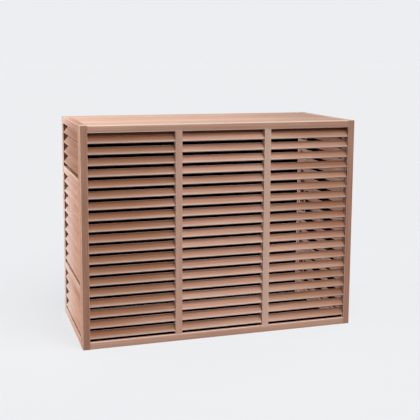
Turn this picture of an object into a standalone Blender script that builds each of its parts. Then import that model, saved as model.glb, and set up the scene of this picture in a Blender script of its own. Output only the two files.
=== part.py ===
"""A louvred timber screen that stands over an outdoor air conditioner, against a wall.

Metres, +Z up. The origin is the middle of the footprint, on the ground.
+X runs along the length, the front faces -Y, and the back is open.
The front and the two sides are frames of square stock that hold fixed sloping blades.
A boarded lid lies between them on ledgers, flush with the tops of the frames.
"""
import math

import bmesh
import bpy
from mathutils import Vector

# Overall size
LENGTH = 1.700
DEPTH = 0.750
HEIGHT = 1.300

# Square stock of the stiles, rails and mullions, and its joints
STOCK = 0.042
EASE = 0.0015
FINE_EASE = 0.0005
TENON_THICKNESS = 0.014
TENON_SHOULDER = 0.009
TENON_LENGTH = 0.024
STUB_TENON_LENGTH = 0.010
BAY_COUNT = 3

# Louvre blades, which slope down and outwards, and the strips that hold their ends
BLADE_COUNT = 19
BLADE_THICKNESS = 0.010
BLADE_SLOPE = math.radians(51)
BLADE_SETBACK = 0.0015
BLADE_EASE = 0.002
FOOT_GAP = 0.015
STRIP_WIDTH = 0.014
STRIP_DEPTH = 0.008
STRIP_PROUD = 0.001

# Middle rails of the side frames, each in the place of one blade
MIDDLE_RAIL_NUMBERS = (5, 15)

# Lid boards, the battens that tie them and the ledgers that carry them
BOARD_COUNT = 5
BOARD_THICKNESS = 0.020
BOARD_GAP = 0.001
LEDGER_WIDTH = 0.020
LEDGER_DEPTH = 0.045
BATTEN_WIDTH = 0.045
BATTEN_DEPTH = 0.020
BATTEN_PLACE_SHARES = (-0.36, 0.0, 0.36)

# Countersunk screws
SCREW_SIDES = 8
SCREW_HEAD_RADIUS = 0.004
SCREW_HEAD_HEIGHT = 0.0025
SCREW_SHANK_RADIUS = 0.002
SCREW_POINT_LENGTH = 0.004
SCREW_POINT_RADIUS = 0.0003
CORNER_SCREW_BITE = 0.020
LEDGER_SCREW_BITE = 0.016
BOARD_SCREW_BITE = 0.014
CORNER_SCREW_BLADE_NUMBERS = (2, 10, 17)
LEDGER_SCREW_SHARES = (-0.3, 0.3)

# Clearance between pieces that touch, and how far a cut runs past a face
FIT_GAP = 0.0003
OVERRUN = 0.002

# Edges that meet at more than this angle look sharp on turned pieces
SHARP_ANGLE = math.radians(30)

# Sizes and numbers that follow from those above
BLADE_NUMBERS = range(1, BLADE_COUNT + 1)
FIELD_TOP = HEIGHT - STOCK
BLADE_PITCH = (FIELD_TOP - STOCK - FOOT_GAP) / BLADE_COUNT
BLADE_CHORD = (
    STOCK - 2 * BLADE_SETBACK - BLADE_THICKNESS * math.sin(BLADE_SLOPE)
) / math.cos(BLADE_SLOPE)
BLADE_RISE = BLADE_CHORD * math.sin(BLADE_SLOPE) + BLADE_THICKNESS * math.cos(BLADE_SLOPE)
BAY_WIDTH = (LENGTH - (BAY_COUNT + 1) * STOCK) / BAY_COUNT
INNER_LENGTH = LENGTH - 2 * STOCK
INNER_FRONT = -DEPTH / 2 + STOCK
INNER_REAR = DEPTH / 2 - STOCK
BOARD_WIDTH = (INNER_REAR - INNER_FRONT - (BOARD_COUNT + 1) * BOARD_GAP) / BOARD_COUNT
BOARD_UNDERSIDE = HEIGHT - BOARD_THICKNESS
LEDGER_TOP = BOARD_UNDERSIDE - FIT_GAP
LEDGER_MIDDLE = LEDGER_TOP - LEDGER_DEPTH / 2
LEDGER_UNDERSIDE = LEDGER_TOP - LEDGER_DEPTH
LEDGER_SCREW_HEIGHT = (LEDGER_TOP + FIELD_TOP) / 2
LEDGER_SCREW_LENGTH = LEDGER_WIDTH + FIT_GAP + LEDGER_SCREW_BITE

# Directions in a plane of the screen
AXES = ("along", "out", "up")

# Colours as sRGB values out of 255
TIMBER_FRAME = (196, 154, 131)
TIMBER_BLADE = (190, 147, 125)
TIMBER_LID = (224, 184, 160)
TIMBER_INNER = (176, 136, 114)
STEEL = (150, 150, 152)


class Plane:
    """A direction along, one out and one up, which turn sizes into places in the world."""

    def __init__(self, origin, along, out):
        self.origin = Vector(origin)
        self.along = Vector(along)
        self.out = Vector(out)

    def world(self, along, out, up):
        return self.origin + self.along * along + self.out * out + Vector((0, 0, up))


# The ground plane's directions, for pieces that lie level
FLOOR = Plane((0, 0, 0), (1, 0, 0), (0, 1, 0))


class Piece:
    """A sub-part: its solids, the shapes joined to it or cut out of it, and its finish."""

    made = []

    def __init__(self, name, colour, roughness=0.65, metallic=0.0, turned=False):
        self.name = name
        self.colour = colour
        self.roughness = roughness
        self.metallic = metallic
        self.turned = turned
        self.solids = bmesh.new()
        self.joins = bmesh.new()
        self.cuts = bmesh.new()
        Piece.made.append(self)

    def material(self):
        material = bpy.data.materials.new(self.name)
        material.use_nodes = True
        shader = material.node_tree.nodes["Principled BSDF"]
        shader.inputs["Base Color"].default_value = linear_colour(self.colour)
        shader.inputs["Roughness"].default_value = self.roughness
        shader.inputs["Metallic"].default_value = self.metallic
        return material

    def finish(self):
        body = object_from(self.solids, self.name)
        body.data.materials.append(self.material())
        if self.turned:
            body.data.shade_smooth()
            body.data.set_sharp_from_angle(angle=SHARP_ANGLE)
        self.combine(body, self.joins, "UNION")
        self.combine(body, self.cuts, "DIFFERENCE")

    def combine(self, body, shapes, operation):
        if not shapes.verts:
            return
        tool = object_from(shapes, f"{self.name}_{operation.lower()}")
        tool.hide_render = True
        tool.display_type = "WIRE"
        modifier = body.modifiers.new(operation.title(), "BOOLEAN")
        modifier.operation = operation
        modifier.solver = "EXACT"
        modifier.object = tool


def linear_colour(values):
    """A Blender colour from sRGB values out of 255."""
    shares = [value / 255 for value in values]
    linear = [s / 12.92 if s <= 0.04045 else ((s + 0.055) / 1.055) ** 2.4 for s in shares]
    return (*linear, 1.0)


def object_from(shape, name):
    """An object from a bmesh, with its faces turned outwards."""
    bmesh.ops.recalc_face_normals(shape, faces=shape.faces)
    mesh = bpy.data.meshes.new(name)
    shape.to_mesh(mesh)
    shape.free()
    made = bpy.data.objects.new(name, mesh)
    bpy.context.scene.collection.objects.link(made)
    return made


def add_loft(shape, rings):
    """One closed solid through rings of equally many points."""
    loops = [[shape.verts.new(point) for point in ring] for ring in rings]
    shape.faces.new(loops[0])
    shape.faces.new(loops[-1])
    for near, far in zip(loops, loops[1:]):
        for index, corner in enumerate(near):
            following = (index + 1) % len(near)
            shape.faces.new((corner, near[following], far[following], far[index]))


def eased_rectangle(half_width, half_height, ease):
    """The outline of a rectangle about its middle, with its corners cut at 45 degrees."""
    points = []
    for side, end in ((1, 1), (-1, 1), (-1, -1), (1, -1)):
        on_side = (side * half_width, end * (half_height - ease))
        on_end = (side * (half_width - ease), end * half_height)
        points += [on_side, on_end] if side == end else [on_end, on_side]
    return points


def bar_ring(plane, run, at, middle, half, ease):
    """The outline of a bar's section at one place along its run."""
    across, over = [axis for axis in AXES if axis != run]
    ring = []
    for width, height in eased_rectangle(*half, ease):
        place = {run: at, across: middle[0] + width, over: middle[1] + height}
        ring.append(plane.world(**place))
    return ring


def add_bar(shape, plane, run, start, end, middle, size, ease=EASE):
    """A straight bar with its four long edges eased."""
    half = (size[0] / 2, size[1] / 2)
    rings = [bar_ring(plane, run, at, middle, half, ease) for at in (start, end)]
    add_loft(shape, rings)


def tenon_half(run, grow=0.0):
    """Half the section of a tenon, whose thin way is always out of the plane."""
    thin = TENON_THICKNESS / 2 + grow
    wide = STOCK / 2 - TENON_SHOULDER + grow
    return (thin, wide) if run == "along" else (wide, thin)


def add_tenoned_bar(shape, plane, run, start, end, middle, tenon):
    """A bar of square stock between two faces, with a tenon on each end."""
    full = (STOCK / 2, STOCK / 2)
    thin = tenon_half(run)
    shoulders = (start + FIT_GAP, end - FIT_GAP)
    tips = (start - tenon, end + tenon)
    stations = (
        (tips[0], thin, FINE_EASE),
        (shoulders[0], thin, FINE_EASE),
        (shoulders[0], full, EASE),
        (shoulders[1], full, EASE),
        (shoulders[1], thin, FINE_EASE),
        (tips[1], thin, FINE_EASE),
    )
    add_loft(shape, [bar_ring(plane, run, at, middle, half, ease) for at, half, ease in stations])


def cut_mortise(piece, plane, run, face, into, middle, tenon):
    """The pocket for a tenon that enters a face; into is +1 or -1 along the run."""
    half = tenon_half(run, FIT_GAP)
    outside = face - into * OVERRUN
    bottom = face + into * (tenon + FIT_GAP)
    rings = [bar_ring(plane, run, at, middle, half, FINE_EASE) for at in (outside, bottom)]
    add_loft(piece.cuts, rings)


def blade_foot(number):
    """The height of the lowest edge of a blade; the top one is number 1."""
    return FIELD_TOP - number * BLADE_PITCH


def blade_middle(number):
    """The height of the middle of a blade."""
    return blade_foot(number) + BLADE_RISE / 2


def add_blade(shape, plane, start, end, height):
    """A sloping blade between two places along the plane."""
    outline = eased_rectangle(BLADE_CHORD / 2, BLADE_THICKNESS / 2, BLADE_EASE)
    slope_out, slope_up = math.cos(BLADE_SLOPE), math.sin(BLADE_SLOPE)
    rings = []
    for at in (start, end):
        ring = []
        for down_slope, off_slope in outline:
            out = down_slope * slope_out + off_slope * slope_up
            up = off_slope * slope_out - down_slope * slope_up
            ring.append(plane.world(at, out, height + up))
        rings.append(ring)
    add_loft(shape, rings)


def make_louvres(name, plane, posts, edges, levels, numbers):
    """A bank of blades on two strips, which are let into grooves in the posts beside it."""
    bank = Piece(name, TIMBER_BLADE)
    for post, edge, into in zip(posts, edges, (-1, 1)):
        inner = edge - into * STRIP_PROUD
        outer = edge + into * STRIP_DEPTH
        middle = ((inner + outer) / 2, 0.0)
        section = (abs(outer - inner), STRIP_WIDTH)
        ends = (levels[0] + FIT_GAP, levels[1] - FIT_GAP)
        add_bar(bank.solids, plane, "up", *ends, middle, section, FINE_EASE)
        open_end = edge - into * OVERRUN
        bottom = outer + into * FIT_GAP
        middle = ((open_end + bottom) / 2, 0.0)
        section = (abs(bottom - open_end), STRIP_WIDTH + 2 * FIT_GAP)
        add_bar(post.cuts, plane, "up", *levels, middle, section, FINE_EASE)
    ends = (edges[0] + FIT_GAP, edges[1] - FIT_GAP)
    for number in numbers:
        add_blade(bank.joins, plane, *ends, blade_middle(number))


def make_stile(name, plane, start):
    """A full-height post of square stock."""
    stile = Piece(name, TIMBER_FRAME)
    middle = (start + STOCK / 2, 0.0)
    add_bar(stile.solids, plane, "up", 0.0, HEIGHT, middle, (STOCK, STOCK))
    return stile


def make_rail(name, plane, start, end, height, start_post, end_post, tenon=TENON_LENGTH):
    """A rail tenoned between two posts, with its middle at the given height."""
    rail = Piece(name, TIMBER_FRAME)
    middle = (0.0, height)
    add_tenoned_bar(rail.solids, plane, "along", start, end, middle, tenon)
    cut_mortise(start_post, plane, "along", start, -1, middle, tenon)
    cut_mortise(end_post, plane, "along", end, 1, middle, tenon)
    return rail


def make_mullion(name, plane, start, bottom_rail, top_rail):
    """An upright tenoned between the bottom and the top rail."""
    mullion = Piece(name, TIMBER_FRAME)
    middle = (start + STOCK / 2, 0.0)
    add_tenoned_bar(mullion.solids, plane, "up", STOCK, FIELD_TOP, middle, TENON_LENGTH)
    cut_mortise(bottom_rail, plane, "up", STOCK, -1, middle, TENON_LENGTH)
    cut_mortise(top_rail, plane, "up", FIELD_TOP, 1, middle, TENON_LENGTH)
    return mullion


def make_front():
    """The front frame: two stiles, two rails, two mullions and three banks of blades."""
    plane = Plane((0, INNER_FRONT - STOCK / 2, 0), (1, 0, 0), (0, -1, 0))
    starts = [-LENGTH / 2 + bay * (STOCK + BAY_WIDTH) for bay in range(BAY_COUNT + 1)]
    left = make_stile("front_left_stile", plane, starts[0])
    right = make_stile("front_right_stile", plane, starts[-1])
    ends = (starts[0] + STOCK, starts[-1])
    top = make_rail("front_top_rail", plane, *ends, HEIGHT - STOCK / 2, left, right)
    bottom = make_rail("front_bottom_rail", plane, *ends, STOCK / 2, left, right)
    posts = [left]
    for side, start in zip(("left", "right"), starts[1:-1]):
        posts.append(make_mullion(f"front_{side}_mullion", plane, start, bottom, top))
    posts.append(right)
    levels = (STOCK, FIELD_TOP)
    for bay, side in enumerate(("left", "middle", "right")):
        edges = (starts[bay] + STOCK, starts[bay + 1])
        beside = posts[bay : bay + 2]
        make_louvres(f"front_{side}_louvres", plane, beside, edges, levels, BLADE_NUMBERS)
    return left, right, top


def make_side(side, outward):
    """A side frame: two stiles, four rails and three banks of blades between the rails.

    The foot of each middle rail is level with the foot of the blade whose place it takes.
    """
    plane = Plane((outward * (INNER_LENGTH + STOCK) / 2, 0, 0), (0, 1, 0), (outward, 0, 0))
    start = INNER_FRONT + FIT_GAP
    front_stile = make_stile(f"{side}_front_stile", plane, start)
    rear_stile = make_stile(f"{side}_rear_stile", plane, INNER_REAR)
    posts = (front_stile, rear_stile)
    edges = (start + STOCK, INNER_REAR)
    heights = [blade_foot(number) + STOCK / 2 for number in MIDDLE_RAIL_NUMBERS]
    top = make_rail(f"{side}_top_rail", plane, *edges, HEIGHT - STOCK / 2, *posts)
    make_rail(f"{side}_upper_rail", plane, *edges, heights[0], *posts)
    make_rail(f"{side}_lower_rail", plane, *edges, heights[1], *posts)
    make_rail(f"{side}_bottom_rail", plane, *edges, STOCK / 2, *posts)
    above, below = MIDDLE_RAIL_NUMBERS
    half = STOCK / 2
    banks = (
        ("upper", (heights[0] + half, FIELD_TOP), BLADE_NUMBERS[: above - 1]),
        ("middle", (heights[1] + half, heights[0] - half), BLADE_NUMBERS[above : below - 1]),
        ("lower", (STOCK, heights[1] - half), BLADE_NUMBERS[below:]),
    )
    for level, levels, numbers in banks:
        make_louvres(f"{side}_{level}_louvres", plane, posts, edges, levels, numbers)
    return front_stile, rear_stile, top


def make_rear_rail(left_stile, right_stile):
    """The rail that ties the side frames at the top of the open back."""
    plane = Plane((0, INNER_REAR + STOCK / 2, 0), (1, 0, 0), (0, 1, 0))
    ends = (-INNER_LENGTH / 2, INNER_LENGTH / 2)
    posts = (left_stile, right_stile)
    return make_rail(
        "rear_top_rail", plane, *ends, HEIGHT - STOCK / 2, *posts, tenon=STUB_TENON_LENGTH
    )


def make_screw(name, through, into, head, direction, length):
    """A countersunk screw, with its hole cut in the piece it holds and the piece it bites."""
    axis = Vector(direction)
    aside = axis.orthogonal().normalized()
    beside = axis.cross(aside)

    def rings(stations):
        made = []
        for depth, radius in stations:
            ring = []
            for side in range(SCREW_SIDES):
                angle = 2 * math.pi * side / SCREW_SIDES
                spoke = aside * math.cos(angle) + beside * math.sin(angle)
                ring.append(Vector(head) + axis * depth + spoke * radius)
            made.append(ring)
        return made

    neck = FIT_GAP + SCREW_HEAD_HEIGHT
    body = (
        (FIT_GAP, SCREW_HEAD_RADIUS),
        (neck, SCREW_SHANK_RADIUS),
        (length - SCREW_POINT_LENGTH, SCREW_SHANK_RADIUS),
        (length, SCREW_POINT_RADIUS),
    )
    hole = (
        (-OVERRUN, SCREW_HEAD_RADIUS + FIT_GAP),
        (FIT_GAP, SCREW_HEAD_RADIUS + FIT_GAP),
        (neck, SCREW_SHANK_RADIUS + FIT_GAP),
        (length + FIT_GAP, SCREW_SHANK_RADIUS + FIT_GAP),
    )
    screw = Piece(name, STEEL, 0.35, 0.9, turned=True)
    add_loft(screw.solids, rings(body))
    add_loft(through.cuts, rings(hole))
    add_loft(into.cuts, rings(hole))


def make_corner_screws(side, outward, side_stile, front_stile):
    """Screws through a side's front stile into the front frame.

    They lie in the middle of the wall outside the groove for the strip, between two blades.
    """
    offset = (STOCK + STRIP_WIDTH) / 4
    x = outward * ((LENGTH - STOCK) / 2 + offset)
    y = INNER_FRONT + FIT_GAP + STOCK
    length = FIT_GAP + STOCK + CORNER_SCREW_BITE
    for number, blade in enumerate(CORNER_SCREW_BLADE_NUMBERS, 1):
        z = blade_middle(blade) - BLADE_PITCH / 2 - offset * math.tan(BLADE_SLOPE)
        name = f"{side}_corner_screw_{number}"
        make_screw(name, side_stile, front_stile, (x, y, z), (0, -1, 0), length)


def make_long_ledger(side, rail, rail_face, inward):
    """A ledger along the front or the back, screwed to the top rail there."""
    ledger = Piece(f"{side}_ledger", TIMBER_INNER)
    half_length = INNER_LENGTH / 2 - FIT_GAP
    middle = rail_face + inward * (FIT_GAP + LEDGER_WIDTH / 2)
    section = (LEDGER_WIDTH, LEDGER_DEPTH)
    add_bar(
        ledger.solids, FLOOR, "along", -half_length, half_length, (middle, LEDGER_MIDDLE), section
    )
    for number, share in enumerate(LEDGER_SCREW_SHARES, 1):
        head = (share * INNER_LENGTH, middle + inward * LEDGER_WIDTH / 2, LEDGER_SCREW_HEIGHT)
        name = f"{side}_ledger_screw_{number}"
        make_screw(name, ledger, rail, head, (0, -inward, 0), LEDGER_SCREW_LENGTH)


def make_side_ledger(side, rail, inward):
    """A ledger across one end, between the long ledgers, screwed to the side's top rail."""
    ledger = Piece(f"{side}_ledger", TIMBER_INNER)
    middle = inward * (FIT_GAP + (LEDGER_WIDTH - INNER_LENGTH) / 2)
    half_length = INNER_REAR - LEDGER_WIDTH - 2 * FIT_GAP
    section = (LEDGER_WIDTH, LEDGER_DEPTH)
    add_bar(
        ledger.solids, FLOOR, "out", -half_length, half_length, (middle, LEDGER_MIDDLE), section
    )
    for number, share in enumerate(LEDGER_SCREW_SHARES, 1):
        head = (middle + inward * LEDGER_WIDTH / 2, share * half_length, LEDGER_SCREW_HEIGHT)
        name = f"{side}_ledger_screw_{number}"
        make_screw(name, ledger, rail, head, (-inward, 0, 0), LEDGER_SCREW_LENGTH)
    return ledger, middle


def make_boards():
    """The lid boards, side by side along the length, with the middle of each across the depth."""
    half_length = INNER_LENGTH / 2 - BOARD_GAP
    section = (BOARD_WIDTH, BOARD_THICKNESS)
    boards = []
    for index in range(BOARD_COUNT):
        board = Piece(f"lid_board_{index + 1}", TIMBER_LID)
        y = INNER_FRONT + BOARD_GAP + BOARD_WIDTH / 2 + index * (BOARD_WIDTH + BOARD_GAP)
        middle = (y, BOARD_UNDERSIDE + BOARD_THICKNESS / 2)
        add_bar(board.solids, FLOOR, "along", -half_length, half_length, middle, section)
        boards.append((board, y))
    return boards


def make_battens():
    """The battens under the lid boards, glued across them."""
    reach = INNER_REAR - LEDGER_WIDTH - FIT_GAP - BOARD_GAP
    section = (BATTEN_WIDTH, BATTEN_DEPTH)
    for side, share in zip(("left", "middle", "right"), BATTEN_PLACE_SHARES):
        batten = Piece(f"lid_{side}_batten", TIMBER_INNER)
        middle = (share * INNER_LENGTH, LEDGER_TOP - BATTEN_DEPTH / 2)
        add_bar(batten.solids, FLOOR, "out", -reach, reach, middle, section)


def make_lid_screws(side, ledger, x, boards):
    """Screws up through a side ledger into the first and the last board."""
    length = LEDGER_DEPTH + FIT_GAP + BOARD_SCREW_BITE
    for number, (board, y) in enumerate((boards[0], boards[-1]), 1):
        head = (x, y, LEDGER_UNDERSIDE)
        make_screw(f"{side}_lid_screw_{number}", ledger, board, head, (0, 0, 1), length)


def main():
    for old in list(bpy.data.objects):
        bpy.data.objects.remove(old, do_unlink=True)
    front_left, front_right, front_top = make_front()
    left_front, left_rear, left_top = make_side("left", -1)
    right_front, right_rear, right_top = make_side("right", 1)
    rear_top = make_rear_rail(left_rear, right_rear)
    make_corner_screws("left", -1, left_front, front_left)
    make_corner_screws("right", 1, right_front, front_right)
    make_long_ledger("front", front_top, INNER_FRONT, 1)
    make_long_ledger("rear", rear_top, INNER_REAR, -1)
    left_ledger, left_x = make_side_ledger("left", left_top, 1)
    right_ledger, right_x = make_side_ledger("right", right_top, -1)
    boards = make_boards()
    make_battens()
    make_lid_screws("left", left_ledger, left_x, boards)
    make_lid_screws("right", right_ledger, right_x, boards)
    for piece in Piece.made:
        piece.finish()


main()
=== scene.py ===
"""The looks of a louvred timber screen that stands over an outdoor air conditioner.

Metres, +Z up, the louvred front faces -Y and the back is open to the wall. Every stick of timber
is modelled lying along X about the origin, marked with where each point lies in it, and then
carried to its place. The timber's material reads those marks.
"""
import math
import random

import bmesh
import bpy
from mathutils import Matrix, Vector


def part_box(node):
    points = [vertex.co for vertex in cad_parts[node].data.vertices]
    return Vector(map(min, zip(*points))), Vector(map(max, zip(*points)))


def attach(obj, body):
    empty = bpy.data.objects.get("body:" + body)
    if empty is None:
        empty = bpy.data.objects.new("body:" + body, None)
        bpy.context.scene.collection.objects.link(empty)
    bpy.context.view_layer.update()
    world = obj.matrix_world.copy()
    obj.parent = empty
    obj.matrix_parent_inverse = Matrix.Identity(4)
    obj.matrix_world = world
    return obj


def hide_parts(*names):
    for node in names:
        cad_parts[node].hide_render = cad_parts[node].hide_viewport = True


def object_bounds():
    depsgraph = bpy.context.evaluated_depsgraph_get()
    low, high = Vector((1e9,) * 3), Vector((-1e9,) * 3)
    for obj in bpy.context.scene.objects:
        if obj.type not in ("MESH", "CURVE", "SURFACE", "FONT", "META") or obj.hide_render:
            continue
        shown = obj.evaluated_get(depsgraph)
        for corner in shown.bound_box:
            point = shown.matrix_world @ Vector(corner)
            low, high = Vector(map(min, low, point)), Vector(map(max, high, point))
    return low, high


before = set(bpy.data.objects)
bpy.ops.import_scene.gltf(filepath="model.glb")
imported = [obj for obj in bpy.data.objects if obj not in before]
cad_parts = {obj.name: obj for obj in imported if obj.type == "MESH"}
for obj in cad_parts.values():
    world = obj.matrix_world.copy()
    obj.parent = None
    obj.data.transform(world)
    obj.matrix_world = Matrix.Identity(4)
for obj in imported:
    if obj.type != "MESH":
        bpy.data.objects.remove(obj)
CAD_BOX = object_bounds()


def colour(red, green, blue):
    """A Blender colour from sRGB values out of 255."""
    shares = [value / 255 for value in (red, green, blue)]
    linear = [s / 12.92 if s <= 0.04045 else ((s + 0.055) / 1.055) ** 2.4 for s in shares]
    return (*linear, 1.0)


# Camera, from the corners of the screen in the photograph
CAMERA_PLACE = (-1.532, -4.888, 1.690)
CAMERA_TURN = (82.15, -0.33, -17.70)
CAMERA_LENS = 69.7
CAMERA_SHIFT = -0.10

# Soft even light, as the way towards each lamp, its strength and its spread in degrees
SUNS = {
    "left_light": ((-1.0, 0.05, 0.03), 3.25, 10.0),
    "front_light": ((0.20, -0.62, 0.76), 2.46, 70.0),
    "back_light": ((0.80, 0.58, 0.12), 1.25, 40.0),
}
SUN_PLACE = (0, 0, 4)
# A nearer panel over the left end of the lid
PANEL_PLACE = (-1.10, -0.05, 2.60)
PANEL_WIDTH = 0.9
PANEL_POWER = 7.0

# Floor and sky
WHITE = (1.0, 1.0, 1.0, 1.0)
BACKDROP = colour(236, 238, 241)
SKY_STRENGTH = 0.06
FLOOR_SIZE = 400.0
# How much of the light that reaches the floor it throws back at the screen
FLOOR_BOUNCE = 0.12
# How much of what the camera sees of the floor is glow, and how strong that glow is
FLOOR_GLOW = 0.75
GLOW_STRENGTH = 1.04

# Black cards that stand beyond the louvres, as painted shade that shows the inside black
CARD_GAP = 0.001
CARD_MARGIN = 0.004
RAIL_CARD_SETBACK = 0.018

# Timbers, as the colours of pale and dark wood and of worn wood, which also serves for painted
# light and highlights; the inside timber is darker, as painted shade
TIMBERS = {
    "frame_timber": ((228, 183, 161), (178, 131, 108), (255, 231, 216)),
    "blade_timber": ((222, 174, 150), (170, 120, 90), (246, 224, 214)),
    "lid_timber": ((240, 201, 179), (196, 148, 122), (246, 218, 200)),
    "inner_timber": ((196, 140, 106), (160, 106, 74), (206, 162, 134)),
}
RUDDY = colour(255, 241, 236)
# Painted shade, for recesses, the blades' upper parts and the lid's right end
SHADE_COLOUR = colour(112, 63, 43)
BRIGHT_STEEL = colour(168, 168, 166)
DULL_STEEL = colour(120, 120, 122)

# Noises, as changes per metre along X, Y and Z, detail and roughness
NOISES = {
    "wander": ((1.3, 9.0, 9.0), 2.0, 0.5),
    "ripple": ((9.0, 60.0, 60.0), 1.0, 0.5),
    "bands": ((95.0, 0.8, 1.0), 3.0, 0.6),
    "fibre": ((14.0, 900.0, 900.0), 2.0, 0.6),
    "streak": ((2.5, 170.0, 170.0), 2.0, 0.55),
    "patch": ((3.0, 10.0, 10.0), 2.0, 0.5),
    "warmth": ((1.8, 14.0, 14.0), 2.0, 0.5),
    "steel_marks": ((2400.0, 2400.0, 2400.0), 2.0, 0.5),
    "steel_dull": ((260.0, 260.0, 260.0), 2.0, 0.5),
}
NOISE_MEAN = 0.5

# Year rings, which wander and ripple along the tree
RINGS_PER_METRE = 300.0
WANDER_ACROSS = 0.030
WANDER_THROUGH = 0.018
RIPPLE_ACROSS = 0.0012
LATE_WOOD_START = (0.35, 0.92)
LATE_WOOD_END = (0.94, 1.0)
LATE_WOOD_MEAN = 0.3

# How much each part of the grain darkens the wood
BAND_TONE = 0.85
STREAK_TONE = 0.75
LATE_WOOD_TONE = 0.22
PATCH_TONE = 0.60
# How much the painted brightening lightens the wood
BRIGHTENING_TONE = 0.4
WARM_PATCHES = (0.35, 0.65)
WARMTH = 0.5

# Where each band of painted light and shade starts and is full, from -1 to 1 across a stick or
# along it
LOWER_EDGE_LIGHT = (0.2, 1.0)
UPPER_EDGE_LIGHT = (-0.2, 1.0)
HEAD_SHADE_SPAN = (0.0, 1.0)
LID_END_SHADE_SPAN = (0.1, 1.1)
BRIGHTENING_TINT = 0.7
# How much the painted shade and the wear with its painted highlight vary from patch to patch, and
# the least that stays of each
SHADE_VARIES = 0.4
SHADE_STAYS = 0.7
WEAR_AND_HIGHLIGHT_VARIES = 0.6
WEAR_AND_HIGHLIGHT_STAYS = 0.8
# How near an arris the wear and its painted highlight are full, and where they end
WEAR_AND_HIGHLIGHT_REACH = (0.0005, 0.0045)
END_GRAIN_REACH = (0.0, 0.0008)
END_GRAIN_TONE = 0.15

# Relief, as strength and depth, and roughness
TIMBER_BUMP = (0.30, 0.0006)
FIBRE_RELIEF = 0.6
LATE_WOOD_RELIEF = 0.5
STREAK_RELIEF = 0.4
TIMBER_ROUGHNESS = 0.56
FIBRE_ROUGHNESS = 0.16
END_GRAIN_ROUGHNESS = 0.15
TIMBER_SHINE = 0.2
STEEL_BUMP = (0.2, 0.0001)
STEEL_ROUGHNESS = 0.28
DULL_ROUGHNESS = 0.25

# How dark each piece's timber is before its grain is added, where 0 is pale and 1 is dark, as a
# range that chance picks from; besides the wood's own tone these paint light and shade, darker or
# lighter as light fell across the front and sides, with the rear stiles and the front ledger
# darker as shade and the right side's blades lighter as painted light
TONES_WITH_PAINTED_LIGHT = {
    "front_left_stile": (0.90, 0.95),
    "front_right_stile": (0.70, 0.75),
    "front_left_mullion": (0.08, 0.12),
    "front_right_mullion": (0.00, 0.04),
    "front_top_rail": (0.14, 0.18),
    "front_bottom_rail": (0.14, 0.18),
    "rear_top_rail": (0.70, 0.75),
    "front_left_louvres": (0.70, 1.10),
    "front_middle_louvres": (0.05, 0.50),
    "front_right_louvres": (0.10, 0.55),
    "left_rear_stile": (0.85, 0.90),
    "right_rear_stile": (0.95, 1.00),
    "left_top_rail": (0.60, 0.65),
    "left_upper_louvres": (0.75, 0.95),
    "left_middle_louvres": (0.00, 0.20),
    "left_lower_louvres": (0.00, 0.20),
    "left_upper_rail": (0.10, 0.15),
    "left_lower_rail": (0.10, 0.15),
    "right_upper_louvres": (-0.20, 0.00),
    "right_middle_louvres": (-0.20, 0.00),
    "right_lower_louvres": (-0.20, 0.00),
    "front_ledger": (0.95, 1.00),
}
USUAL_TONE = (0.10, 0.50)
# Painted shade along a stick or a bank: how much darker it is at the left or lower end and at the
# other, below 0 lighter, where the light falls off
PAINTED_END_SHADE = {
    "front_left_stile": (0.05, -0.22),
    "front_left_louvres": (0.30, -0.10),
    "front_right_louvres": (-0.05, 0.50),
    "front_top_rail": (0.00, 0.30),
}
NO_END_SHADE = (0.0, 0.0)
# Painted light: how much lighter a piece is made all over, from 0 to 1; the left side is also made
# lighter towards the back
PAINTED_BRIGHTENING = {
    "front_left_mullion": 0.10,
    "front_right_mullion": 0.40,
    "left_middle_louvres": 0.20,
    "left_lower_louvres": 0.20,
}
# The banks of blades in the sides
SIDE_LEVELS = ("upper", "middle", "lower")
SIDE_BANKS = [f"{side}_{level}_louvres" for side in ("left", "right") for level in SIDE_LEVELS]
# Painted light on the blades' lower edges, as a highlight along the lips, or, below 0, on their
# upper edges, to lift the shade there
PAINTED_EDGE_LIGHT = {
    "front_left_louvres": 0.45,
    "front_middle_louvres": 0.40,
    "front_right_louvres": 0.35,
    **dict.fromkeys(SIDE_BANKS, -0.35),
}
# Painted shade on the upper parts of the front's blades, under the blade above
PAINTED_HEAD_SHADE = {
    "front_left_louvres": 0.40,
    "front_middle_louvres": 0.55,
    "front_right_louvres": 0.55,
}
# Painted light on the faces round the lid that look up, with the bright line along the top front
# edge
PAINTED_TOP_LIGHT = {
    "front_top_rail": 0.45,
    "front_left_stile": 0.50,
    "front_right_stile": 0.50,
    "left_front_stile": 0.50,
    "right_front_stile": 0.50,
}
# How far wear and its painted highlight reach from the arrises, as a share of the usual
WEAR_AND_HIGHLIGHT = {
    "front_top_rail": 1.8,
    "front_left_stile": 0.65,
    "front_right_stile": 0.5,
    "front_left_mullion": 0.5,
    "front_right_mullion": 0.5,
    "left_front_stile": 0.5,
    "right_front_stile": 0.5,
    "left_top_rail": 0.7,
    "right_top_rail": 0.7,
    **dict.fromkeys(SIDE_BANKS, 0.1),
}
# Painted shade on the sides' inner faces at the back, and painted light on them in front
INNER_SHADE_AND_LIGHT = 0.4
# Painted shade on the lid's right end, at its front edge and at its rear one
LID_PAINTED_SHADE = (0.26, 0.47)

# Directions
ALONG_X, ALONG_Y, ALONG_Z = range(3)
AXES = (Vector((1, 0, 0)), Vector((0, 1, 0)), Vector((0, 0, 1)))
UP = AXES[ALONG_Z]
# Which way along X is outwards on each side
OUTWARD = {"left": -1, "right": 1}
# The least cosine between a face's normal and the way that it looks
FLAT_SHARE = 0.99
INWARD_SHARE = 0.7

# Sticks of timber
ARRIS = 0.0030
BOARD_ARRIS = 0.0015
END_ARRIS = 0.0006
ARRIS_STEPS = 3
SHOULDER_GAP = 0.0003
SMOOTH_ANGLE = math.radians(40)
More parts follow.
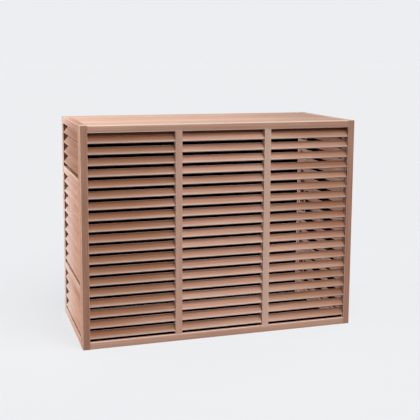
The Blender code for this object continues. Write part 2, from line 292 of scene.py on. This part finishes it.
# Where in the tree a stick may be cut from, along it, across it and through it
CUT_RANGES = ((0, 40), (0.03, 0.12), (-0.12, 0.12))

# Blades, whose places follow from the rails
BLADE_COUNT = 19
BLADE_THICKNESS = 0.010
BLADE_SLOPE = math.radians(51)
BLADE_SETBACK = 0.0015
BLADE_ARRIS = 0.0025
FOOT_GAP = 0.015
MIDDLE_RAIL_NUMBERS = (5, 15)
STRIP_WIDTH = 0.014
STRIP_DEPTH = 0.008
STRIP_PROUD = 0.001

# Sizes of the frame that the blades are set out from
FRONT_RAIL_LOW, FRONT_RAIL_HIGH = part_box("front_top_rail")
STOCK = FRONT_RAIL_HIGH.z - FRONT_RAIL_LOW.z
FIELD_TOP = FRONT_RAIL_LOW.z
FIELD_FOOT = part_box("front_bottom_rail")[1].z
BLADE_PITCH = (FIELD_TOP - FIELD_FOOT - FOOT_GAP) / BLADE_COUNT
BLADE_CHORD = (
    STOCK - 2 * BLADE_SETBACK - BLADE_THICKNESS * math.sin(BLADE_SLOPE)
) / math.cos(BLADE_SLOPE)
BLADE_RISE = BLADE_CHORD * math.sin(BLADE_SLOPE) + BLADE_THICKNESS * math.cos(BLADE_SLOPE)

# One stream of chance for every stick's cut and tone
CHANCE_SEED = 17
chance = random.Random(CHANCE_SEED)


class Signal:
    """A value that varies over a surface, from a node's output, with the usual sums."""

    def __init__(self, finish, socket):
        self.finish = finish
        self.socket = socket

    def sum_of(self, operation, *values):
        settings = {"operation": operation}
        return self.finish.node("ShaderNodeMath", settings, dict(enumerate(values)))

    def __add__(self, other):
        return self.sum_of("ADD", self, other)

    __radd__ = __add__

    def __sub__(self, other):
        return self.sum_of("SUBTRACT", self, other)

    def __rsub__(self, other):
        return self.sum_of("SUBTRACT", other, self)

    def __neg__(self):
        return 0.0 - self

    def __mul__(self, other):
        return self.sum_of("MULTIPLY", self, other)

    __rmul__ = __mul__

    def __truediv__(self, other):
        return self.sum_of("DIVIDE", self, other)

    def __pow__(self, other):
        return self.sum_of("POWER", self, other)

    def fraction(self):
        return self.sum_of("FRACT", self)

    def larger(self, other):
        return self.sum_of("MAXIMUM", self, other)

    def step(self, low, high):
        """A smooth step from 0 at low to 1 at high."""
        settings = {"interpolation_type": "SMOOTHSTEP"}
        sockets = {"Value": self, "From Min": low, "From Max": high}
        return self.finish.node("ShaderNodeMapRange", settings, sockets)

    def clear(self):
        """The value kept between 0 and 1."""
        return self.finish.node("ShaderNodeClamp", {}, {"Value": self})

    def part(self, axis):
        """One component of a vector."""
        return self.finish.node("ShaderNodeSeparateXYZ", {}, {0: self}, axis)


class Finish:
    """The nodes of a material, or of the sky, that is being made."""

    def __init__(self, owner, shader="Principled BSDF", output="Material Output"):
        owner.use_nodes = True
        self.owner = owner
        self.tree = owner.node_tree
        self.shader = self.tree.nodes[shader]
        self.output = self.tree.nodes[output]

    def node(self, kind, settings, sockets, output=0):
        """A node of any kind: its settings first, then the values and links of its sockets."""
        made = self.tree.nodes.new(kind)
        for name, value in settings.items():
            setattr(made, name, value)
        self.feed(made, sockets)
        return Signal(self, made.outputs[output])

    def feed(self, made, sockets):
        for name, value in sockets.items():
            if isinstance(value, Signal):
                self.tree.links.new(value.socket, made.inputs[name])
            else:
                made.inputs[name].default_value = value

    def vector(self, operation, *values):
        settings = {"operation": operation}
        return self.node("ShaderNodeVectorMath", settings, dict(enumerate(values)))

    def attribute(self, name):
        return self.node("ShaderNodeAttribute", {"attribute_name": name}, {}, "Vector")

    def noise(self, place, kind):
        """Soft noise from 0 to 1, with its own scale in each direction."""
        stretch, detail, roughness = NOISES[kind]
        stretched = self.vector("MULTIPLY", place, stretch)
        sockets = {"Vector": stretched, "Scale": 1.0, "Detail": detail, "Roughness": roughness}
        return self.node("ShaderNodeTexNoise", {}, sockets)

    def blend(self, amount, first, second, mode="MIX"):
        """One colour over another, by an amount from 0 to 1."""
        settings = {"data_type": "RGBA", "blend_type": mode}
        sockets = {"Factor": amount, 6: first, 7: second}
        return self.node("ShaderNodeMix", settings, sockets, 2)

    def relief(self, bump, height):
        """The normal of a surface that has fine relief."""
        strength, depth = bump
        sockets = {"Strength": strength, "Distance": depth, "Height": height}
        return self.node("ShaderNodeBump", {}, sockets)

    def ray(self, kind):
        """1 for the rays of one kind, and 0 for the others."""
        return self.node("ShaderNodeLightPath", {}, {}, f"Is {kind} Ray")

    def seen_directly(self):
        """1 for rays from the camera and for reflections, and 0 for those that bring light."""
        return self.ray("Camera").larger(self.ray("Glossy"))

    def end_with(self, share, first, second):
        """Takes a mix of two shaders in place of the first one."""
        self.tree.nodes.remove(self.shader)
        mixed = self.node("ShaderNodeMixShader", {}, {0: share, 1: first, 2: second})
        self.feed(self.output, {"Surface": mixed})


def growth(finish, place):
    """The late wood of the year rings, from 0 to 1, and the broader bands that follow them."""
    wander = finish.noise(place, "wander") - NOISE_MEAN
    ripple = finish.noise(place, "ripple") - NOISE_MEAN
    across = place.part("Y") + wander * WANDER_ACROSS + ripple * RIPPLE_ACROSS
    through = place.part("Z") + wander * WANDER_THROUGH
    radius = (across * across + through * through) ** 0.5
    ring = (radius * RINGS_PER_METRE).fraction()
    late_wood = ring.step(*LATE_WOOD_START) * (1.0 - ring.step(*LATE_WOOD_END))
    band_place = finish.node("ShaderNodeCombineXYZ", {}, {0: radius, 1: place.part("X")})
    return late_wood, finish.noise(band_place, "bands")


def edges(finish, at, half, wear_and_highlight):
    """How much wear and painted highlight a point takes from the arris near it, and whether it's
    end grain, from 0 to 1.
    """
    margin = finish.vector("SUBTRACT", half, finish.vector("ABSOLUTE", at))
    near_side = 1.0 - (margin.part("Y") / wear_and_highlight).step(*WEAR_AND_HIGHLIGHT_REACH)
    near_face = 1.0 - (margin.part("Z") / wear_and_highlight).step(*WEAR_AND_HIGHLIGHT_REACH)
    end_grain = 1.0 - margin.part("X").step(*END_GRAIN_REACH)
    return near_side * near_face, end_grain


def timber(name, pale, dark, worn_and_lit):
    """Planed softwood, from where a point lies in its stick and the stick lay in the tree, with
    light, shade and highlights painted on from its marks.
    """
    finish = Finish(bpy.data.materials.new(name))
    marks = ("at", "half_size", "cut", "tone_and_painted_light", "painted_light", "painted_shade")
    at, half, cut, tone_and_painted_light, painted_light, painted_shades = [finish.attribute(key) for key in marks]
    place = finish.vector("ADD", at, cut)
    late_wood, bands = growth(finish, place)
    fibre, streak, patch = [finish.noise(place, kind) for kind in ("fibre", "streak", "patch")]

    figure = (
        (bands - NOISE_MEAN) * BAND_TONE
        + (streak - NOISE_MEAN) * STREAK_TONE
        + (late_wood - LATE_WOOD_MEAN) * LATE_WOOD_TONE
    )
    # Painted light that lightens some pieces all over, and the left side towards the back
    brightening = painted_light.part("X")
    patches = (patch - NOISE_MEAN) * PATCH_TONE
    depth = (tone_and_painted_light.part("X") + figure + patches - brightening * BRIGHTENING_TONE).clear()
    tint = finish.blend(depth, pale, dark)
    warmth = finish.noise(place, "warmth").step(*WARM_PATCHES)
    tint = finish.blend(warmth * WARMTH, tint, RUDDY, "MULTIPLY")

    down = at.part("Y") / half.part("Y")
    along = at.part("X") / half.part("X")
    edge_light = tone_and_painted_light.part("Y")
    painted_shade = painted_shades.part("X")
    shade_patches = patch * SHADE_VARIES + SHADE_STAYS
    wear_and_highlight_patches = patch * WEAR_AND_HIGHLIGHT_VARIES + WEAR_AND_HIGHLIGHT_STAYS
    arris, end_grain = edges(finish, at, half, tone_and_painted_light.part("Z"))
    # Layers: painted light on the blades' lower or upper edges, painted brightening, painted shade
    # on the blades' upper parts, the lid's right end and the recesses, wear with a painted
    # highlight on the arrises, darker end grain, and painted light on faces that look up or sit in
    # front
    layers = (
        (down.step(*LOWER_EDGE_LIGHT) * edge_light.clear(), worn_and_lit),
        ((-down).step(*UPPER_EDGE_LIGHT) * (-edge_light).clear(), worn_and_lit),
        (brightening.clear() * (1.0 - depth) * BRIGHTENING_TINT, worn_and_lit),
        ((-down).step(*HEAD_SHADE_SPAN) * painted_light.part("Y"), SHADE_COLOUR),
        (along.step(*LID_END_SHADE_SPAN) * painted_light.part("Z"), SHADE_COLOUR),
        ((painted_shade * shade_patches).clear(), SHADE_COLOUR),
        ((arris * wear_and_highlight_patches).clear(), worn_and_lit),
        (end_grain * END_GRAIN_TONE, dark),
        ((-painted_shade).clear(), worn_and_lit),
    )
    for amount, layer in layers:
        tint = finish.blend(amount, tint, layer)

    height = fibre * FIBRE_RELIEF - late_wood * LATE_WOOD_RELIEF + streak * STREAK_RELIEF
    rough = TIMBER_ROUGHNESS + fibre * FIBRE_ROUGHNESS + end_grain * END_GRAIN_ROUGHNESS
    normal = finish.relief(TIMBER_BUMP, height)
    finish.feed(finish.shader, {"Base Color": tint, "Roughness": rough, "Normal": normal})
    finish.feed(finish.shader, {"Specular IOR Level": TIMBER_SHINE})
    return finish.owner


def steel(name):
    """Plain zinced steel, with fine turning marks and a dull patch here and there."""
    finish = Finish(bpy.data.materials.new(name))
    place = finish.node("ShaderNodeTexCoord", {}, {}, "Object")
    dull = finish.noise(place, "steel_dull")
    tint = finish.blend(dull, BRIGHT_STEEL, DULL_STEEL)
    rough = STEEL_ROUGHNESS + dull * DULL_ROUGHNESS
    normal = finish.relief(STEEL_BUMP, finish.noise(place, "steel_marks"))
    finish.feed(finish.shader, {"Base Color": tint, "Roughness": rough, "Normal": normal})
    finish.feed(finish.shader, {"Metallic": 1.0})
    return finish.owner


FINISHES = {
    name: timber(name, *[colour(*shade) for shade in shades]) for name, shades in TIMBERS.items()
}
FINISHES["screw_steel"] = steel("screw_steel")


def select_edges(piece, wanted):
    """In edit mode, selects the edges whose two ends pass a test."""
    bpy.ops.mesh.select_mode(type="EDGE")
    bpy.ops.mesh.select_all(action="DESELECT")
    shape = bmesh.from_edit_mesh(piece.data)
    for edge in shape.edges:
        edge.select_set(wanted(edge.verts[0].co, edge.verts[1].co))
    bmesh.update_edit_mesh(piece.data)


def model_stick(name, size, arris):
    """A length of timber that lies along X about the origin, with its arrises rounded."""
    bpy.ops.object.select_all(action="DESELECT")
    bpy.ops.mesh.primitive_cube_add(size=1.0, location=(0, 0, 0), scale=size)
    bpy.ops.object.transform_apply(location=True, rotation=True, scale=True)
    stick = bpy.context.object
    stick.name = name
    half_length = size[ALONG_X] / 2
    end = half_length - END_ARRIS
    bpy.ops.object.mode_set(mode="EDIT")
    select_edges(stick, lambda a, b: abs(a.x - b.x) > half_length)
    bpy.ops.mesh.bevel(offset=arris, segments=ARRIS_STEPS, affect="EDGES")
    select_edges(stick, lambda a, b: abs(a.x - b.x) < END_ARRIS and abs(a.x) > end)
    bpy.ops.mesh.bevel(offset=END_ARRIS, segments=1, affect="EDGES")
    bpy.ops.object.mode_set(mode="OBJECT")
    bpy.ops.object.shade_smooth_by_angle(angle=SMOOTH_ANGLE)
    mark(stick, "at", [tuple(vertex.co) for vertex in stick.data.vertices])
    mark(stick, "half_size", [[part / 2 for part in size]] * len(stick.data.vertices))
    return stick


def mark(stick, name, vectors):
    """Keeps one vector for each vertex, for the timber material to read."""
    layer = stick.data.attributes.new(name, "FLOAT_VECTOR", "POINT")
    layer.data.foreach_set("vector", [part for vector in vectors for part in vector])


def copy_stick(pattern, name):
    copied = pattern.copy()
    copied.data = pattern.data.copy()
    copied.name = name
    bpy.context.scene.collection.objects.link(copied)
    return copied


def mark_looks(stick, node):
    """Marks a stick with its cut, its tone, and the light and shade painted on it, before its
    place is applied to it.
    """
    cut = [chance.uniform(*span) for span in CUT_RANGES]
    darkness = chance.uniform(*TONES_WITH_PAINTED_LIGHT.get(node, USUAL_TONE))
    end_shades = NO_END_SHADE if "_strip_" in stick.name else PAINTED_END_SHADE.get(node, NO_END_SHADE)
    lighter_to_back = node.startswith("left") and node.endswith(("stile", "rail", "louvres"))
    front_shade, rear_shade = LID_PAINTED_SHADE if node.startswith("lid_board") else (0.0, 0.0)
    tones_and_painted_light, painted_lights = [], []
    for vertex in stick.data.vertices:
        darker = end_shades[vertex.co.x > 0]
        kept = 1.0 - max(darker, 0.0)
        edge_light, wear_and_highlight = PAINTED_EDGE_LIGHT.get(node, 0.0) * kept, WEAR_AND_HIGHLIGHT.get(node, 1.0) * kept
        tones_and_painted_light.append((darkness + darker, edge_light, wear_and_highlight))
        back = (stick.matrix_world @ vertex.co).y / CAD_BOX[1].y
        # Painted brightening, and the painted shade on the lid's right end
        brightening = PAINTED_BRIGHTENING.get(node, 0.0) + (back if lighter_to_back else 0.0)
        lid_shade = front_shade + (rear_shade - front_shade) * (1.0 + back) / 2
        painted_lights.append((brightening, PAINTED_HEAD_SHADE.get(node, 0.0) * kept, lid_shade))
    mark(stick, "cut", [cut] * len(stick.data.vertices))
    mark(stick, "tone_and_painted_light", tones_and_painted_light)
    mark(stick, "painted_light", painted_lights)


def mark_faces(stick, node, shaded_ways):
    """Marks the corners of the flat faces that take painted shade and, below 0, painted light."""
    shape = stick.data
    outward = OUTWARD.get(node.split("_")[0], 0)
    layer = shape.attributes.new("painted_shade", "FLOAT", "CORNER")
    for face in shape.polygons:
        for corner in face.loop_indices:
            back = shape.vertices[shape.loops[corner].vertex_index].co.y / CAD_BOX[1].y
            if any(face.normal.dot(way) > FLAT_SHARE for way in shaded_ways):
                layer.data[corner].value = 1.0
            elif face.normal.x * outward < -INWARD_SHARE:
                layer.data[corner].value = INNER_SHADE_AND_LIGHT * back
            elif face.normal.z > FLAT_SHARE:
                layer.data[corner].value = -PAINTED_TOP_LIGHT.get(node, 0.0)


def set_stick(stick, turn, middle, slot, node, shaded_ways=()):
    """Carries a stick to its place, gives it its finish and lets it ride with the frame."""
    stick.matrix_world = Matrix.Translation(middle) @ turn.to_4x4()
    mark_looks(stick, node)
    stick.data.name = stick.name
    stick.data.materials.clear()
    stick.data.materials.append(FINISHES[slot])
    bpy.ops.object.select_all(action="DESELECT")
    stick.select_set(True)
    bpy.context.view_layer.objects.active = stick
    bpy.ops.object.transform_apply(location=True, rotation=True, scale=True)
    mark_faces(stick, node, shaded_ways)
    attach(stick, "root")
    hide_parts(node)


def turn_to(first, second, third):
    """The turn that carries X, Y and Z to three directions."""
    return Matrix((first, second, third)).transposed()


def make_bar(node, run, slot, between=None, arris=ARRIS, shaded_ways=()):
    """A straight stick in the place of a node, which may run between the faces of two others."""
    low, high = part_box(node)
    if between:
        low[run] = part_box(between[0])[1][run] + SHOULDER_GAP
        high[run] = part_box(between[1])[0][run] - SHOULDER_GAP
    order = [(run + step) % len(AXES) for step in range(len(AXES))]
    size = high - low
    stick = model_stick(f"{node}_timber", [size[axis] for axis in order], arris)
    turn = turn_to(*[AXES[axis] for axis in order])
    set_stick(stick, turn, (low + high) / 2, slot, node, shaded_ways)


def blade_middle(number):
    """The height of the middle of a blade; the top one is number 1."""
    return FIELD_TOP - number * BLADE_PITCH + BLADE_RISE / 2


def make_louvres(bank, pattern, along, out, middle, numbers):
    """The blades of one bank, copied from a pattern, and the strips that hold their ends."""
    down = out * math.cos(BLADE_SLOPE) - UP * math.sin(BLADE_SLOPE)
    turn = turn_to(along, down, along.cross(down))
    for number in numbers:
        blade = copy_stick(pattern, f"{bank}_blade_{number}")
        set_stick(blade, turn, middle + UP * blade_middle(number), "blade_timber", bank)
    low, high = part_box(bank)
    width = STRIP_DEPTH + STRIP_PROUD
    size = (high.z - low.z, STRIP_WIDTH, width)
    turn = turn_to(UP, out, UP.cross(out))
    half_span = abs((high - low).dot(along)) / 2
    for number, side in enumerate((-1, 1), 1):
        strip = model_stick(f"{bank}_strip_{number}", size, END_ARRIS)
        place = middle + along * side * (half_span - width / 2) + UP * (low.z + high.z) / 2
        # The strips' faces towards the blades take painted shade
        set_stick(strip, turn, place, "blade_timber", bank, [along * -side])


def bay_middle(before, after, along):
    """The middle of the space between two posts, at the foot."""
    (before_low, before_high), after_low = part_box(before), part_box(after)[0]
    middle = (before_low + before_high) / 2
    here = (before_high.dot(along) + after_low.dot(along)) / 2
    flat = middle + along * (here - middle.dot(along))
    return Vector((flat.x, flat.y, 0))


def blade_pattern(before, after, along):
    """One blade that fits between two posts, for the others to be copied from."""
    length = (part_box(after)[0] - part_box(before)[1]).dot(along) - 2 * SHOULDER_GAP
    return model_stick("blade_pattern", (length, BLADE_CHORD, BLADE_THICKNESS), BLADE_ARRIS)


def make_front():
    """The front frame with three bays of blades."""
    posts = ("front_left_stile", "front_left_mullion", "front_right_mullion", "front_right_stile")
    rails = ("front_bottom_rail", "front_top_rail")
    along = AXES[ALONG_X]
    # The posts' faces towards the blades take painted shade
    make_bar(posts[0], ALONG_Z, "frame_timber", shaded_ways=[along])
    make_bar(posts[-1], ALONG_Z, "frame_timber", shaded_ways=[-along])
    for node in reversed(rails):
        make_bar(node, ALONG_X, "frame_timber", (posts[0], posts[-1]))
    for node in posts[1:-1]:
        make_bar(node, ALONG_Z, "frame_timber", rails, shaded_ways=[along, -along])
    pattern = blade_pattern(*posts[:2], along)
    for bay, before, after in zip(("left", "middle", "right"), posts, posts[1:]):
        middle = bay_middle(before, after, along)
        numbers = range(1, BLADE_COUNT + 1)
        make_louvres(f"front_{bay}_louvres", pattern, along, -AXES[ALONG_Y], middle, numbers)
    bpy.data.objects.remove(pattern)


def make_side(side):
    """A side frame, with blades above, between and below its two middle rails."""
    posts = (f"{side}_front_stile", f"{side}_rear_stile")
    along = AXES[ALONG_Y]
    # The stiles' faces towards the blades take painted shade
    for node, inward in zip(posts, (along, -along)):
        make_bar(node, ALONG_Z, "frame_timber", shaded_ways=[inward])
    for level in ("top", "upper", "lower", "bottom"):
        make_bar(f"{side}_{level}_rail", ALONG_Y, "frame_timber", posts)
    pattern = blade_pattern(*posts, along)
    middle = bay_middle(*posts, along)
    out = OUTWARD[side] * AXES[ALONG_X]
    upper, lower = MIDDLE_RAIL_NUMBERS
    banks = (
        ("upper", range(1, upper)),
        ("middle", range(upper + 1, lower)),
        ("lower", range(lower + 1, BLADE_COUNT + 1)),
    )
    for level, numbers in banks:
        make_louvres(f"{side}_{level}_louvres", pattern, along, out, middle, numbers)
    bpy.data.objects.remove(pattern)


def make_top():
    """The rail at the back, and the lid with its ledgers and battens."""
    make_bar("rear_top_rail", ALONG_X, "frame_timber", ("left_rear_stile", "right_rear_stile"))
    for node in sorted(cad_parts):
        if node.startswith("lid_board"):
            make_bar(node, ALONG_X, "lid_timber", arris=BOARD_ARRIS)
        elif node.endswith("batten"):
            make_bar(node, ALONG_Y, "inner_timber", arris=BOARD_ARRIS)
    runs = {"front": ALONG_X, "rear": ALONG_X, "left": ALONG_Y, "right": ALONG_Y}
    for side, run in runs.items():
        make_bar(f"{side}_ledger", run, "inner_timber", arris=BOARD_ARRIS)


def finish_screws():
    for node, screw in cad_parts.items():
        if "_screw_" in node:
            screw.data.materials.clear()
            screw.data.materials.append(FINISHES["screw_steel"])


def make_floor():
    """A plain pale floor, which glows a little for the camera and still takes the shadow."""
    bpy.ops.object.select_all(action="DESELECT")
    bpy.ops.mesh.primitive_plane_add(size=FLOOR_SIZE, location=(0, 0, 0))
    floor = bpy.context.object
    floor.name = "floor"
    finish = Finish(bpy.data.materials.new("floor"))
    shown = finish.seen_directly()
    bounce = (FLOOR_BOUNCE, FLOOR_BOUNCE, FLOOR_BOUNCE, 1.0)
    tint = finish.blend(shown, bounce, WHITE)
    lit = finish.node("ShaderNodeBsdfDiffuse", {}, {"Color": tint})
    sockets = {"Color": BACKDROP, "Strength": GLOW_STRENGTH}
    glow = finish.node("ShaderNodeEmission", {}, sockets)
    finish.end_with(shown * FLOOR_GLOW, lit, glow)
    floor.data.materials.append(finish.owner)


def card_corners():
    """The corners of the black cards round the open back and sides, which paint the inside as
    black shade.

    They stand just outside the openings, and under and behind the lowest blades, where they hide
    the floor inside.
    """
    low, high = CAD_BOX
    inner_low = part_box("front_top_rail")[0].y + STOCK + CARD_GAP
    outer_low = low.y + RAIL_CARD_SETBACK
    outer_high = high.y - STOCK + CARD_MARGIN
    left, right, rear = low.x - CARD_GAP, high.x + CARD_GAP, high.y + CARD_GAP
    reach = high.x - STOCK
    head = FIELD_TOP - CARD_MARGIN
    walls = (
        ((-reach, rear), (reach, rear), 0, head),
        ((right, outer_high), (right, inner_low), 0, head),
        ((left, inner_low), (left, outer_high), 0, head),
        ((-reach, outer_low), (reach, outer_low), FIELD_FOOT, FIELD_FOOT + FOOT_GAP),
    )
    shade_cards = [
        ((x0, y0, foot), (x0, y0, top), (x1, y1, top), (x1, y1, foot))
        for (x0, y0), (x1, y1), foot, top in walls
    ]
    # The last one is as high as the camera sees the floor past it, and leans with the right foot
    eye = Vector(CAMERA_PLACE)
    share = (inner_low - eye.y) / (high.y - eye.y)
    rise = eye.z * (1 - share)
    lean = eye.x + (reach - eye.x) * share
    ends = ((-reach, 0), (-reach, rise), (lean, rise), (reach, 0))
    shade_cards.append([(x, inner_low, z) for x, z in ends])
    return shade_cards


def make_cards():
    """Black cards as painted shade, which only the camera's rays see, and only from outside the
    louvres.
    """
    shape = bmesh.new()
    for corners in card_corners():
        shape.faces.new([shape.verts.new(corner) for corner in reversed(corners)])
    stage = bpy.data.objects.new("shade_cards", bpy.data.meshes.new("shade_cards"))
    shape.to_mesh(stage.data)
    bpy.context.scene.collection.objects.link(stage)
    finish = Finish(bpy.data.materials.new("shade_cards"))
    behind = finish.node("ShaderNodeNewGeometry", {}, {}, "Backfacing")
    clear = finish.node("ShaderNodeBsdfTransparent", {}, {})
    black = finish.node("ShaderNodeEmission", {}, {"Strength": 0.0})
    finish.end_with(finish.ray("Camera") * (1.0 - behind), clear, black)
    stage.data.materials.append(finish.owner)


def make_sky():
    """An even sky, which the camera and reflections see in the backdrop's colour."""
    world = bpy.data.worlds.new("sky")
    bpy.context.scene.world = world
    finish = Finish(world, "Background", "World Output")
    faint = {"Color": WHITE, "Strength": SKY_STRENGTH}
    sky = finish.node("ShaderNodeBackground", {}, faint)
    seen = finish.node("ShaderNodeBackground", {}, {"Color": BACKDROP, "Strength": 1.0})
    finish.end_with(finish.seen_directly(), sky, seen)


def make_lamps():
    for name, (way, strength, spread) in SUNS.items():
        bpy.ops.object.light_add(type="SUN", location=SUN_PLACE)
        lamp = bpy.context.object
        lamp.name = name
        lamp.rotation_euler = Vector(way).to_track_quat("Z", "Y").to_euler()
        lamp.data.energy = strength
        lamp.data.angle = math.radians(spread)
    bpy.ops.object.light_add(type="AREA", location=PANEL_PLACE)
    panel = bpy.context.object
    panel.name = "panel"
    panel.data.size = PANEL_WIDTH
    panel.data.energy = PANEL_POWER


def make_camera():
    turn = [math.radians(angle) for angle in CAMERA_TURN]
    bpy.ops.object.camera_add(location=CAMERA_PLACE, rotation=turn)
    camera = bpy.context.object
    camera.data.lens = CAMERA_LENS
    camera.data.shift_y = CAMERA_SHIFT
    bpy.context.scene.camera = camera


make_front()
make_side("left")
make_side("right")
make_top()
finish_screws()
make_floor()
make_cards()
make_sky()
make_lamps()
make_camera()
bpy.context.scene.view_settings.view_transform = "Standard"
